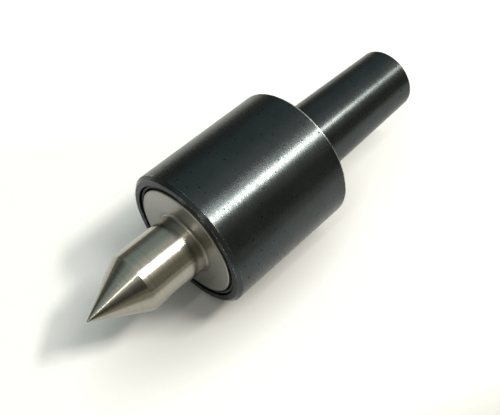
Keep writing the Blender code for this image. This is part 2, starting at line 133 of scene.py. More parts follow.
@dataclass
class Turned:
    """A surface of revolution about the object's axis.

    Attributes:
        corners: The profile's corners. Its ends either lie on the axis or join each other.
        ring: True if the profile closes on itself.
        sides: Facets around the axis.
        steps: Segments in each rounded corner.
        center_y: Place along the axis that the corners are measured from.
        guards: Distances from a corner at which points keep a flat stretch flat.
        wear_and_shade_reach: The distance from an edge over which its rubbed look and its painted shade fade.
    """

    corners: list[Corner]
    ring: bool = True
    sides: int = 240
    steps: int = 5
    center_y: float = 0.0
    guards: tuple[float, ...] = (0.12 * MM, 0.35 * MM, 1.0 * MM)
    wear_and_shade_reach: float = 0.25 * MM

    def profile(self) -> tuple[np.ndarray, np.ndarray]:
        """Round every corner, and put guard points beside it so that flat stretches shade flat.

        Returns:
            The profile's points as rows of (radius, y), and at each how rubbed it is and how much painted
            shade it takes.
        """
        places = np.array([[c.radius, c.y] for c in self.corners])
        count = len(places)
        arcs = []
        for i, corner in enumerate(self.corners):
            if not self.ring and i in (0, count - 1):
                arcs.append(places[i][None, :])
            else:
                arcs.append(fillet_points(places[i - 1], corner, places[(i + 1) % count], self.steps))
        points, wear_and_shade = [], []
        for i, arc in enumerate(arcs):
            points.append(arc)
            wear_and_shade.append(np.full(len(arc), self.corners[i].wear_and_shade))
            if i == count - 1 and not self.ring:
                break
            following = arcs[(i + 1) % count]
            gap = following[0] - arc[-1]
            length = float(np.linalg.norm(gap))
            near = [g for g in self.guards if g < 0.4 * length]
            stops = np.array(near + [length - g for g in reversed(near)])
            if len(stops):
                points.append(arc[-1] + gap / length * stops[:, None])
                here = self.corners[i].wear_and_shade * np.exp(-stops / self.wear_and_shade_reach)
                there = self.corners[(i + 1) % count].wear_and_shade * np.exp(-(length - stops) / self.wear_and_shade_reach)
                wear_and_shade.append(np.maximum(here, there))
        return np.concatenate(points), np.concatenate(wear_and_shade)

    def mesh(self, name: str) -> bpy.types.Mesh:
        """Revolve the profile: each point (radius, y) becomes (radius cos a, y, radius sin a).

        Args:
            name: The mesh's name.

        Returns:
            The closed mesh, with how rubbed each point is and how much painted shade it takes in the point
            attribute "wear_and_shade".
        """
        profile, wear_and_shade = self.profile()
        off_axis = slice(None) if self.ring else slice(1, -1)
        radius, y = profile[off_axis, :1], profile[off_axis, 1:] + self.center_y
        angles = np.linspace(0.0, 2 * math.pi, self.sides, endpoint=False)
        grid = np.stack([radius * np.cos(angles), y * np.ones_like(angles), radius * np.sin(angles)], axis=-1)
        vertices = grid.reshape(-1, 3).tolist()
        marks = np.repeat(wear_and_shade[off_axis], self.sides)
        ids = np.arange(len(vertices)).reshape(-1, self.sides)
        if self.ring:
            ids = np.concatenate([ids, ids[:1]])
        turned = np.roll(ids, -1, axis=1)
        faces = np.stack([ids[:-1], ids[1:], turned[1:], turned[:-1]], axis=-1).reshape(-1, 4).tolist()
        if not self.ring:
            first, last = len(vertices), len(vertices) + 1
            vertices += [[0.0, float(profile[i, 1]) + self.center_y, 0.0] for i in (0, -1)]
            faces += [[first, a, b] for a, b in zip(ids[0].tolist(), turned[0].tolist())]
            faces += [[last, b, a] for a, b in zip(ids[-1].tolist(), turned[-1].tolist())]
            marks = np.append(marks, [0.0, 0.0])
        mesh = bpy.data.meshes.new(name)
        mesh.from_pydata(vertices, [], faces)
        layer = mesh.attributes.new("wear_and_shade", "FLOAT", "POINT")
        layer.data.foreach_set("value", marks.astype(np.float32))
        point_outwards(mesh)
        mesh.shade_smooth()
        return mesh


def point_outwards(mesh: bpy.types.Mesh) -> None:
    """Turn every face over if the closed mesh's signed volume is negative.

    Args:
        mesh: The mesh to put right.
    """
    mesh.calc_loop_triangles()
    places = np.empty(len(mesh.vertices) * 3)
    mesh.vertices.foreach_get("co", places)
    triangles = np.empty(len(mesh.loop_triangles) * 3, dtype=np.int32)
    mesh.loop_triangles.foreach_get("vertices", triangles)
    a, b, c = (places.reshape(-1, 3)[triangles.reshape(-1, 3)[:, i]] for i in range(3))
    if float(np.einsum("ij,ij->i", a, np.cross(b, c)).sum()) < 0.0:
        mesh.flip_normals()


def add_piece(
    name: str, mesh: bpy.types.Mesh, material: bpy.types.Material, body: Carrier | str, node: str
) -> None:
    """Link a mesh as a piece that rides on a body and stands for a CAD node.

    Args:
        name: The piece's name.
        mesh: Its mesh, with its place in its vertices.
        material: Its finish.
        body: The body that it rides on.
        node: The CAD node that it replaces.
    """
    piece = bpy.data.objects.new(name, mesh)
    bpy.context.scene.collection.objects.link(piece)
    mesh.materials.clear()
    mesh.materials.append(material)
    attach(piece, body.value if isinstance(body, Carrier) else body)
    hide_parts(node)
    LOG.info("%s made", name)


def middle_of(node: str) -> np.ndarray:
    """Find the middle of a CAD node's box."""
    low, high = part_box(node)
    return (np.array(low) + np.array(high)) / 2


# ---- Shader helpers


@dataclass(frozen=True)
class Wiring:
    """Short calls for building a node tree.

    Attributes:
        tree: The tree that nodes are added to.
    """

    tree: bpy.types.NodeTree

    def node(self, kind: str, **settings: object) -> bpy.types.Node:
        """Add a node and set its properties.

        Args:
            kind: The node's Blender type.
            **settings: Properties by name.

        Returns:
            The node.
        """
        made = self.tree.nodes.new(kind)
        for key, value in settings.items():
            setattr(made, key, value)
        return made

    def feed(self, socket: Socket, value: object) -> None:
        """Link a socket to another, or set its value.

        Args:
            socket: The input to fill.
            value: An output socket, or a constant.
        """
        if isinstance(value, Socket):
            self.tree.links.new(value, socket)
        else:
            socket.default_value = value

    def chain(self, kind: str, values: tuple[object, ...], **settings: object) -> Socket:
        """Add a node whose first inputs are filled in order.

        Args:
            kind: The node's Blender type.
            values: What its inputs get.
            **settings: Properties by name.

        Returns:
            Its first output.
        """
        made = self.node(kind, **settings)
        for socket, value in zip(made.inputs, values):
            self.feed(socket, value)
        return made.outputs[0]

    def math(self, operation: str, *values: object, clamp: bool = False) -> Socket:
        """Calculate with a Math node, and keep the result from 0 to 1 if clamp is set."""
        return self.chain("ShaderNodeMath", values, operation=operation, use_clamp=clamp)

    def plus(self, base: object, extra: Socket, share: float) -> Socket:
        """Add a share of one value to another."""
        return self.math("ADD", base, self.math("MULTIPLY", extra, share))

    def swing(self, value: Socket) -> Socket:
        """Shift a value from 0 to 1 so that it runs from -0.5 to 0.5."""
        return self.math("SUBTRACT", value, 0.5)

    def measure(self, operation: str, vector: Socket, other: Triple) -> Socket:
        """Measure a vector against a constant one.

        Args:
            operation: DOT_PRODUCT or DISTANCE.
            vector: The vector.
            other: The constant.

        Returns:
            The measure.
        """
        made = self.node("ShaderNodeVectorMath", operation=operation)
        self.feed(made.inputs[0], vector)
        made.inputs[1].default_value = other
        return made.outputs["Value"]

    def noise(self, vector: Socket, scale: float, detail: float, rough: float) -> Socket:
        """Add a Noise Texture node.

        Args:
            vector: Where it is read.
            scale: Its scale.
            detail: Its octaves.
            rough: How much the finer octaves count.

        Returns:
            Its factor.
        """
        made = self.node("ShaderNodeTexNoise", noise_dimensions="3D")
        for key, value in (("Vector", vector), ("Scale", scale), ("Detail", detail), ("Roughness", rough)):
            self.feed(made.inputs[key], value)
        return made.outputs["Fac"]

    def spread(
        self, value: Socket, low: float, high: float, to_low: float = 0.0, to_high: float = 1.0
    ) -> Socket:
        """Map the range from low to high to another one, and keep to its ends."""
        return self.chain("ShaderNodeMapRange", (value, low, high, to_low, to_high), clamp=True)

    def mix(self, factor: Socket, first: Socket | Triple, second: Socket | Triple) -> Socket:
        """Blend two colours.

        Args:
            factor: The second colour's share.
            first: A colour.
            second: Another.

        Returns:
            The blend.
        """
        made = self.node("ShaderNodeMix", data_type="RGBA", blend_type="MIX")
        self.feed(made.inputs[0], factor)
        for socket, colour in ((made.inputs[6], first), (made.inputs[7], second)):
            self.feed(socket, (*colour, 1.0) if isinstance(colour, tuple) else colour)
        return made.outputs[2]

    def group(self, tree: bpy.types.NodeTree, *values: float) -> dict[str, Socket]:
        """Place a node group.

        Args:
            tree: The group.
            *values: Its inputs in order.

        Returns:
            Its outputs by name.
        """
        made = self.node("ShaderNodeGroup", node_tree=tree)
        for socket, value in zip(made.inputs, values):
            socket.default_value = value
        return dict(made.outputs.items())


def new_group(
    name: str, inputs: dict[str, float], outputs: tuple[str, ...]
) -> tuple[Wiring, dict[str, Socket], dict[str, Socket]]:
    """Start a shader node group with named value sockets.

    Args:
        name: The group's name.
        inputs: Input names with their defaults.
        outputs: Output names.

    Returns:
        The group's wiring, the sockets that give its inputs and those that take its outputs.
    """
    tree = bpy.data.node_groups.new(name, "ShaderNodeTree")
    for key, value in inputs.items():
        socket = tree.interface.new_socket(key, in_out="INPUT", socket_type="NodeSocketFloat")
        socket.default_value = value
    for key in outputs:
        tree.interface.new_socket(key, in_out="OUTPUT", socket_type="NodeSocketFloat")
    w = Wiring(tree)
    given, result = w.node("NodeGroupInput"), w.node("NodeGroupOutput")
    return w, dict(given.outputs.items()), dict(result.inputs.items())


def lathe_marks_group() -> bpy.types.NodeTree:
    """Fine marks that run round the axis, as a lathe or a grinder leaves them.

    The marks are noise that changes fast along the profile, whose place is the distance along the
    axis plus the distance from it, and slowly around it.

    Returns:
        The group, with the outputs Fine, Coarse and Broad, each from 0 to 1, and Radius in metres.
    """
    w, given, result = new_group(
        "lathe_marks", {"Lines per mm": 12.0, "Drift per mm": 0.12}, ("Fine", "Coarse", "Broad", "Radius")
    )
    split = w.node("ShaderNodeSeparateXYZ")
    w.feed(split.inputs[0], w.node("ShaderNodeTexCoord").outputs["Object"])
    x, y, z = split.outputs
    radius = w.math("SQRT", w.math("ADD", w.math("MULTIPLY", x, x), w.math("MULTIPLY", z, z)))
    along = w.math("ADD", y, radius)
    for name, ratio, drift in (("Fine", 1.0, 1.0), ("Coarse", 0.28, 0.6), ("Broad", 0.06, 0.3)):
        quick = w.math("MULTIPLY", w.math("MULTIPLY", along, ratio / MM), given["Lines per mm"])
        slow = w.math("MULTIPLY", given["Drift per mm"], drift / MM)
        ends = (w.math("MULTIPLY", x, slow), quick, w.math("MULTIPLY", z, slow))
        w.feed(result[name], w.noise(w.chain("ShaderNodeCombineXYZ", ends), 1.0, 2.0, 0.6))
    w.feed(result["Radius"], radius)
    return w.tree


def specks_group() -> bpy.types.NodeTree:
    """Small pits and grains spread over a surface.

    Returns:
        The group, with the outputs Pits (1 in a pit), Cloud (soft variation) and Grain.
    """
    w, given, result = new_group("specks", {"Pits per mm": 1.6, "Share": 0.3}, ("Pits", "Cloud", "Grain"))
    place = w.node("ShaderNodeTexCoord").outputs["Object"]
    cells = w.node("ShaderNodeTexVoronoi", feature="F1", distance="EUCLIDEAN")
    w.feed(cells.inputs["Vector"], place)
    w.feed(cells.inputs["Scale"], w.math("MULTIPLY", given["Pits per mm"], 1.0 / MM))
    split = w.node("ShaderNodeSeparateColor")
    w.feed(split.inputs[0], cells.outputs["Color"])
    chosen = w.math("LESS_THAN", split.outputs[0], given["Share"])
    size = w.spread(split.outputs[1], 0.0, 1.0, 0.12, 0.34)
    near = w.math("SUBTRACT", size, cells.outputs["Distance"])
    w.feed(result["Pits"], w.math("MULTIPLY", chosen, w.spread(near, 0.0, 0.08)))
    w.feed(result["Cloud"], w.noise(place, 140.0, 4.0, 0.55))
    w.feed(result["Grain"], w.noise(place, 5200.0, 2.0, 0.6))
    return w.tree


LATHE_MARKS = lathe_marks_group()
SPECKS = specks_group()


def new_material(name: str) -> tuple[bpy.types.Material, Wiring, bpy.types.Node]:
    """Start a material.

    Args:
        name: Its name.

    Returns:
        The material, its wiring and its Principled shader.
    """
    material = bpy.data.materials.new(name)
    material.use_nodes = True
    material.node_tree.nodes.clear()
    w = Wiring(material.node_tree)
    shader = w.node("ShaderNodeBsdfPrincipled")
    w.feed(w.node("ShaderNodeOutputMaterial").inputs["Surface"], shader.outputs["BSDF"])
    return material, w, shader


def run_round_the_axis(w: Wiring, shader: bpy.types.Node, amount: float) -> None:
    """Stretch highlights along the axis, as marks that run round it do.

    Args:
        w: The material's wiring.
        shader: Its shader.
        amount: How much, from 0 to 1.
    """
    tangent = w.node("ShaderNodeTangent", direction_type="RADIAL", axis="Y")
    w.feed(shader.inputs["Tangent"], tangent.outputs[0])
    shader.inputs["Anisotropic"].default_value = amount
    shader.inputs["Anisotropic Rotation"].default_value = 0.25


def bump(w: Wiring, shader: bpy.types.Node, height: Socket, depth: float) -> None:
    """Feed a height into the shader's normal.

    Args:
        w: The material's wiring.
        shader: Its shader.
        height: The height, from 0 to 1.
        depth: What a height of 1 stands for, in metres.
    """
    made = w.node("ShaderNodeBump")
    made.inputs["Strength"].default_value = 1.0
    made.inputs["Distance"].default_value = depth
    w.feed(made.inputs["Height"], height)
    w.feed(shader.inputs["Normal"], made.outputs["Normal"])


# ---- Finishes


@dataclass(frozen=True)
class BlackOxide:
    """Turned and blackened steel: dark, glossy, with rubbed bare edges and small pits.

    Attributes:
        dark, light: The two tones of its clouds.
        bare: Steel that shows at rubbed edges.
        pit: The colour of a pit.
        roughness: Middle roughness.
        comb: How much the turning marks change it.
        grain: How much the grain changes it.
        anisotropy: How far highlights stretch along the axis.
        edge_tint: How bright grazing reflections are.
        lines, drift: Turning marks per mm along the profile and round it.
        pits, share: Places for a pit per mm, and the share of them that has one.
        depth: Depth of the marks.
    """

    dark: Triple = (0.041, 0.048, 0.051)
    light: Triple = (0.054, 0.061, 0.064)
    bare: Triple = (0.55, 0.54, 0.50)
    pit: Triple = (0.012, 0.012, 0.012)
    roughness: float = 0.275
    comb: float = 0.10
    grain: float = 0.45
    anisotropy: float = 0.80
    edge_tint: float = 0.80
    lines: float = 9.0
    drift: float = 0.75
    pits: float = 1.25
    share: float = 0.17
    depth: float = 0.005 * MM

    def material(self) -> bpy.types.Material:
        """Build the material.

        Returns:
            The material.
        """
        material, w, shader = new_material("black_oxide")
        marks = w.group(LATHE_MARKS, self.lines, self.drift)
        specks = w.group(SPECKS, self.pits, self.share)
        worn_and_shaded = w.node("ShaderNodeAttribute", attribute_name="wear_and_shade").outputs["Fac"]
        grain, cloud, pits = w.swing(specks["Grain"]), w.swing(specks["Cloud"]), specks["Pits"]
        bare = w.spread(w.plus(w.plus(worn_and_shaded, grain, 1.1), cloud, 0.9), 0.55, 0.75)
        tone = w.mix(w.spread(w.plus(specks["Cloud"], grain, 0.9), 0.3, 0.7), self.dark, self.light)
        tone = w.mix(w.math("MULTIPLY", pits, 0.8), tone, self.pit)
        w.feed(shader.inputs["Base Color"], w.mix(bare, tone, self.bare))
        shader.inputs["Metallic"].default_value = 1.0
        shader.inputs["Specular Tint"].default_value = (self.edge_tint, self.edge_tint, self.edge_tint, 1.0)
        comb = w.swing(w.spread(marks["Coarse"], 0.32, 0.68))
        rough = w.plus(w.plus(self.roughness, comb, self.comb), grain, self.grain)
        w.feed(shader.inputs["Roughness"], w.plus(rough, pits, 0.3))
        run_round_the_axis(w, shader, self.anisotropy)
        height = w.plus(marks["Fine"], specks["Grain"], 0.8)
        bump(w, shader, w.math("SUBTRACT", height, w.math("MULTIPLY", pits, 1.6)), self.depth)
        return material


@dataclass(frozen=True)
class GroundSteel:
    """Hardened steel, turned and then ground round its axis.

    Attributes:
        low, high: The two tones that its marks show.
        face: The tone of the flange's flat face.
        pit: The colour of a pit.
        worn_and_shaded: A darker tone painted on the fillets and edges as painted shade, which dulls their
            reflections.
        roughness: Middle roughness of the round parts.
        face_roughness, edge_roughness: What the face and the fillets and edges add to it.
        face_start, face_full: Distances from the axis where the face's finish starts and is full.
        anisotropy: How far highlights stretch along the axis.
        lines, drift: Grinding marks per mm along the profile and round it.
        pits, share: Places for a pit per mm, and the share of them that has one.
        depth: Depth of the marks.
    """

    low: Triple = (0.27, 0.255, 0.215)
    high: Triple = (0.36, 0.35, 0.31)
    face: Triple = (0.42, 0.405, 0.385)
    pit: Triple = (0.12, 0.11, 0.09)
    worn_and_shaded: Triple = (0.13, 0.12, 0.10)
    roughness: float = 0.165
    face_roughness: float = 0.16
    edge_roughness: float = 0.18
    face_start: float = 7.6 * MM
    face_full: float = 8.0 * MM
    anisotropy: float = 0.35
    lines: float = 14.0
    drift: float = 0.08
    pits: float = 2.2
    share: float = 0.05
    depth: float = 0.003 * MM

    def material(self) -> bpy.types.Material:
        """Build the material.

        Returns:
            The material.
        """
        material, w, shader = new_material("ground_steel")
        marks = w.group(LATHE_MARKS, self.lines, self.drift)
        specks = w.group(SPECKS, self.pits, self.share)
        worn_and_shaded = w.node("ShaderNodeAttribute", attribute_name="wear_and_shade").outputs["Fac"]
        face = w.spread(marks["Radius"], self.face_start, self.face_full)
        blend = w.plus(marks["Coarse"], w.swing(specks["Grain"]), 1.6)
        tone = w.mix(w.spread(blend, 0.2, 0.8), self.low, self.high)
        tone = w.mix(w.math("MULTIPLY", face, 0.7), tone, self.face)
        tone = w.mix(w.math("MULTIPLY", specks["Pits"], 0.5), tone, self.pit)
        # Painted shade: the fillet at the nose's foot and the flange's edges are darkened, which dulls their
        # reflections.
        w.feed(shader.inputs["Base Color"], w.mix(w.math("MULTIPLY", worn_and_shaded, 0.5), tone, self.worn_and_shaded))
        shader.inputs["Metallic"].default_value = 1.0
        rough = w.plus(self.roughness, w.swing(marks["Broad"]), 0.12)
        rough = w.plus(w.plus(rough, w.swing(marks["Coarse"]), 0.16), worn_and_shaded, self.edge_roughness)
        w.feed(shader.inputs["Roughness"], w.plus(rough, face, self.face_roughness))
        run_round_the_axis(w, shader, self.anisotropy)
        bump(w, shader, w.plus(marks["Fine"], marks["Coarse"], 0.8), self.depth)
        return material


@dataclass(frozen=True)
class SealRubber:
    """Black oil-resistant rubber, matte with a faint bloom.

    Attributes:
        dark, light: The two tones of its clouds.
        smooth, rough: The ends of its roughness.
        depth: Depth of its grain.
    """

    dark: Triple = (0.012, 0.012, 0.013)
    light: Triple = (0.035, 0.034, 0.033)
    smooth: float = 0.55
    rough: float = 0.8
    depth: float = 0.01 * MM

    def material(self) -> bpy.types.Material:
        """Build the material.

        Returns:
            The material.
        """
        material, w, shader = new_material("seal_rubber")
        specks = w.group(SPECKS)
        w.feed(shader.inputs["Base Color"], w.mix(specks["Cloud"], self.dark, self.light))
        w.feed(shader.inputs["Roughness"], w.spread(specks["Grain"], 0.2, 0.8, self.smooth, self.rough))
        bump(w, shader, specks["Grain"], self.depth)
        return material


@dataclass(frozen=True)
class InnerSteel:
    """Metal that is hidden inside: rings, washers, balls, rollers, pressings, cages and the circlip.

    Attributes:
        name: The material's name.
        low, high: The two tones of its clouds.
        roughness: Middle roughness.
        lines: Marks per mm.
        depth: Depth of the marks.
    """

    name: str
    low: Triple
    high: Triple
    roughness: float
    lines: float
    depth: float

    def material(self) -> bpy.types.Material:
        """Build the material.

        Returns:
            The material.
        """
        material, w, shader = new_material(self.name)
        marks, specks = w.group(LATHE_MARKS, self.lines, 0.1), w.group(SPECKS, 2.0, 0.08)
        tone = w.mix(w.spread(specks["Cloud"], 0.35, 0.65), self.low, self.high)
        dull = tuple(0.35 * value for value in self.low)
        w.feed(shader.inputs["Base Color"], w.mix(w.math("MULTIPLY", specks["Pits"], 0.4), tone, dull))
        shader.inputs["Metallic"].default_value = 1.0
        w.feed(shader.inputs["Roughness"], w.plus(self.roughness, w.swing(marks["Coarse"]), 0.12))
        bump(w, shader, marks["Fine"], self.depth)
        return material


BEARING_STEEL = InnerSteel("bearing_steel", (0.50, 0.51, 0.52), (0.60, 0.61, 0.62), 0.20, 16.0, 0.002 * MM)
ROLLING_STEEL = InnerSteel("rolling_steel", (0.58, 0.59, 0.60), (0.64, 0.65, 0.66), 0.09, 30.0, 0.0005 * MM)
SHIELD_STEEL = InnerSteel("shield_steel", (0.42, 0.43, 0.44), (0.52, 0.53, 0.54), 0.32, 6.0, 0.002 * MM)
CAGE_BRASS = InnerSteel("cage_brass", (0.55, 0.40, 0.16), (0.66, 0.50, 0.22), 0.28, 9.0, 0.003 * MM)
SPRING_STEEL = InnerSteel("spring_steel", (0.09, 0.09, 0.095), (0.15, 0.15, 0.155), 0.36, 5.0, 0.003 * MM)


# ---- Sub-assemblies


@dataclass
class Housing:
    """The body with its tapered shank, bored from the front.

    Attributes:
        body_radius: Radius of the body.
        rim_y: Place of its front rim.
        shank_end_y: Place of the shank's end.
        rim_chamfer, rear_chamfer, shank_chamfer: Chamfers at the rim, the rear face and the shank's end.
        mouth_radius, mouth_back_y: The mouth and where it ends.
        bearing_radius, bearing_back_y: The front bearing's bore.
        thrust_radius, thrust_back_y: The thrust bearing's bore.
        needle_radius, needle_back_y: The needle bearing's bore.
        shank_root_radius, shank_taper: The shank where it leaves the body, and its taper on diameter.
        hole_radius, hole_mouth_radius, hole_depth: The centre hole.
        hole_slope, drill_slope: Half the angle of its cone, and of a drill's point.
    """

    body_radius: float
    rim_y: float
    shank_end_y: float
    rim_chamfer: float = 0.85 * MM
    rear_chamfer: float = 0.3 * MM
    mouth_radius: float = 14.8 * MM
    mouth_back_y: float = -28.45 * MM
    bearing_radius: float = 14.25 * MM
    bearing_back_y: float = -20.0 * MM
    thrust_radius: float = 12.25 * MM
    thrust_back_y: float = -7.5 * MM
    needle_radius: float = 6.25 * MM
    needle_back_y: float = 6.1 * MM
    shank_root_radius: float = 9.0 * MM
    shank_taper: float = 0.04995
    shank_chamfer: float = 0.5 * MM
    hole_radius: float = 1.25 * MM
    hole_mouth_radius: float = 3.15 * MM
    hole_depth: float = 4.5 * MM
    hole_slope: float = math.radians(30.0)
    drill_slope: float = math.radians(59.0)

    def turned(self) -> Turned:
        """Set out the profile from the centre hole, over the outside and into the bore.

        Returns:
            The housing's surface.
        """
        end = self.shank_end_y
        end_radius = self.shank_root_radius - self.shank_taper / 2 * end
        cone = (self.hole_mouth_radius - self.hole_radius) / math.tan(self.hole_slope)
        floor = end - cone - self.hole_depth
        drill = math.tan(self.drill_slope)
        corners = [
            Corner(0.0, floor - self.hole_radius / drill),
            Corner(self.hole_radius, floor, EDGE),
            Corner(self.hole_radius, end - cone, EDGE),
            Corner(self.hole_mouth_radius, end, SOFT_EDGE, 0.7),
            Corner(end_radius - self.shank_chamfer, end, 0.25 * MM, 0.3),
            Corner(end_radius, end - self.shank_chamfer, 0.25 * MM, 0.35),
            Corner(self.shank_root_radius, 0.0, 0.15 * MM),
            Corner(self.body_radius - self.rear_chamfer, 0.0, EDGE, 0.8),
            Corner(self.body_radius, -self.rear_chamfer, EDGE, 0.8),
            Corner(self.body_radius, self.rim_y + self.rim_chamfer, SOFT_EDGE, 0.5),
            Corner(self.body_radius - self.rim_chamfer, self.rim_y, SOFT_EDGE, 0.5),
            Corner(self.mouth_radius, self.rim_y, SOFT_EDGE, 0.45),
            Corner(self.mouth_radius, self.mouth_back_y, EDGE),
            Corner(self.bearing_radius, self.mouth_back_y, EDGE),
            Corner(self.bearing_radius, self.bearing_back_y, EDGE),
            Corner(self.thrust_radius, self.bearing_back_y, EDGE),
            Corner(self.thrust_radius, self.thrust_back_y, EDGE),
            Corner(self.needle_radius, self.thrust_back_y, EDGE),
            Corner(self.needle_radius, self.needle_back_y, EDGE),
            Corner(0.0, self.needle_back_y + self.needle_radius / drill),
        ]
        return Turned(corners, ring=False, sides=288)

    def build(self) -> None:
        """Make the housing and dress it."""
        mesh, oxide = self.turned().mesh("body_shell"), BlackOxide().material()
        add_piece("body_shell", mesh, oxide, Carrier.HOUSING, "body_and_shank")


@dataclass
class Spindle:
    """The turning piece: point, nose, flange and stem.

    Attributes:
        tip_y, rim_y, end_y: Places of the tip, of the flange's face and of the stem's end.
        point_angle: The whole angle of the point.
        tip_flat, tip_height: The radius to which the tip is blunted, and how far back.
        nose_radius, nose_fillet: The nose and the fillet at its foot.
        flange_radius, flange_thickness, flange_chamfer: The flange.
        shoulder_radius, shoulder_back_y: The shoulder that the front bearing rests on.
        stem_radius, step_y: The stem's first part and where it ends.
        groove_radius, groove_y, groove_back_y: The circlip's groove.
        thrust_stem_radius, needle_step_y: The stem's second part and where it ends.
        needle_race_radius, end_chamfer: Its last part, which the needles roll on, and its end.
    """

    tip_y: float
    rim_y: float
    end_y: float
    point_angle: float = math.radians(60.0)
    tip_flat: float = 0.1 * MM
    tip_height: float = 0.06 * MM
    nose_radius: float = 7.2 * MM
    nose_fillet: float = 0.6 * MM
    flange_radius: float = 13.55 * MM
    flange_thickness: float = 4.0 * MM
    flange_chamfer: float = 0.16 * MM
    shoulder_radius: float = 7.5 * MM
    shoulder_back_y: float = -28.5 * MM
    stem_radius: float = 5.75 * MM
    groove_radius: float = 5.35 * MM
    groove_y: float = -20.15 * MM
    groove_back_y: float = -18.85 * MM
    step_y: float = -17.0 * MM
    thrust_stem_radius: float = 4.75 * MM
    needle_step_y: float = -5.75 * MM
    needle_race_radius: float = 4.0 * MM
    end_chamfer: float = 0.5 * MM

    def turned(self) -> Turned:
        """Set out the profile from the tip to the stem's end.

        Returns:
            The spindle's surface.
        """
        nose_y = self.tip_y + self.nose_radius / math.tan(self.point_angle / 2)
        flange_back = self.rim_y + self.flange_thickness
        corners = [
            Corner(0.0, self.tip_y),
            Corner(self.tip_flat, self.tip_y + self.tip_height, FINE_EDGE),
            Corner(self.nose_radius, nose_y, 0.08 * MM),
            # The fillet at the nose's foot and the flange's chamfer edges get painted shade that darkens
            # them.
            Corner(self.nose_radius, self.rim_y, self.nose_fillet, 1.0),
            Corner(self.flange_radius - self.flange_chamfer, self.rim_y, 0.08 * MM, 0.7),
            Corner(self.flange_radius, self.rim_y + self.flange_chamfer, 0.08 * MM, 0.7),
            Corner(self.flange_radius, flange_back, 0.2 * MM),
            Corner(self.shoulder_radius, flange_back, 0.2 * MM),
            Corner(self.shoulder_radius, self.shoulder_back_y, EDGE),
            Corner(self.stem_radius, self.shoulder_back_y, EDGE),
            Corner(self.stem_radius, self.groove_y, FINE_EDGE),
            Corner(self.groove_radius, self.groove_y, FINE_EDGE),
            Corner(self.groove_radius, self.groove_back_y, FINE_EDGE),
            Corner(self.stem_radius, self.groove_back_y, FINE_EDGE),
            Corner(self.stem_radius, self.step_y, EDGE),
            Corner(self.thrust_stem_radius, self.step_y, EDGE),
            Corner(self.thrust_stem_radius, self.needle_step_y, EDGE),
            Corner(self.needle_race_radius, self.needle_step_y, EDGE),
            Corner(self.needle_race_radius, self.end_y - self.end_chamfer, EDGE),
            Corner(self.needle_race_radius - self.end_chamfer, self.end_y, EDGE),
            Corner(0.0, self.end_y),
        ]
        return Turned(corners, ring=False, sides=240, steps=6)

    def build(self) -> None:
        """Make the spindle and dress it."""
        mesh, steel = self.turned().mesh("point_and_spindle"), GroundSteel().material()
        add_piece("point_and_spindle", mesh, steel, Carrier.SPINDLE, "center_spindle")


def arc_corners(radius: float, race: float, start: float, end: float, steps: int = 16) -> list[Corner]:
    """Set corners along an arc of a race, so that the groove is round without any rounding.

    Each point is (radius + race sin a, race cos a), with a running evenly from start to end.

    Args:
        radius: Distance of the arc's centre from the axis.
        race: The arc's radius.
        start: First angle, in radians.
        end: Last angle, in radians.
        steps: Segments along the arc.

    Returns:
        The corners in order.
    """
    angles = np.linspace(start, end, steps + 1)
    return [
        Corner(radius + race * math.sin(a), race * math.cos(a), FINE_EDGE if i in (0, steps) else 0.0)
        for i, a in enumerate(angles)
    ]


@dataclass
class FrontSeal:
    """The rubber cup behind the flange, whose wall shows in the gap round it.

    Attributes:
        inner_radius, outer_radius: Its bore and its outside.
        wall_radius: The inside of its wall.
        front_y, floor_y, back_y: Places of the wall's front, of the floor and of the back.
        lip: How thick the lip at its bore is.
    """

    inner_radius: float = 7.8 * MM
    wall_radius: float = 13.98 * MM
    outer_radius: float = 14.56 * MM
    front_y: float = -34.25 * MM
    floor_y: float = -30.28 * MM
    back_y: float = -28.76 * MM
    lip: float = 0.5 * MM

    def build(self) -> None:
        """Make the seal and dress it."""
        corners = [
            Corner(self.inner_radius, self.floor_y, SOFT_EDGE),
            Corner(self.wall_radius, self.floor_y, 0.2 * MM),
            Corner(self.wall_radius, self.front_y, SOFT_EDGE),
            Corner(self.outer_radius, self.front_y, 0.16 * MM),
            Corner(self.outer_radius, self.back_y, EDGE),
            Corner(self.inner_radius + 2 * self.lip, self.back_y, EDGE),
            Corner(self.inner_radius + 2 * self.lip, self.floor_y + self.lip, EDGE),
            Corner(self.inner_radius, self.floor_y + self.lip, SOFT_EDGE),
        ]
        mesh, rubber = Turned(corners).mesh("seal_cup"), SealRubber().material()
        add_piece("seal_cup", mesh, rubber, Carrier.HOUSING, "front_seal")


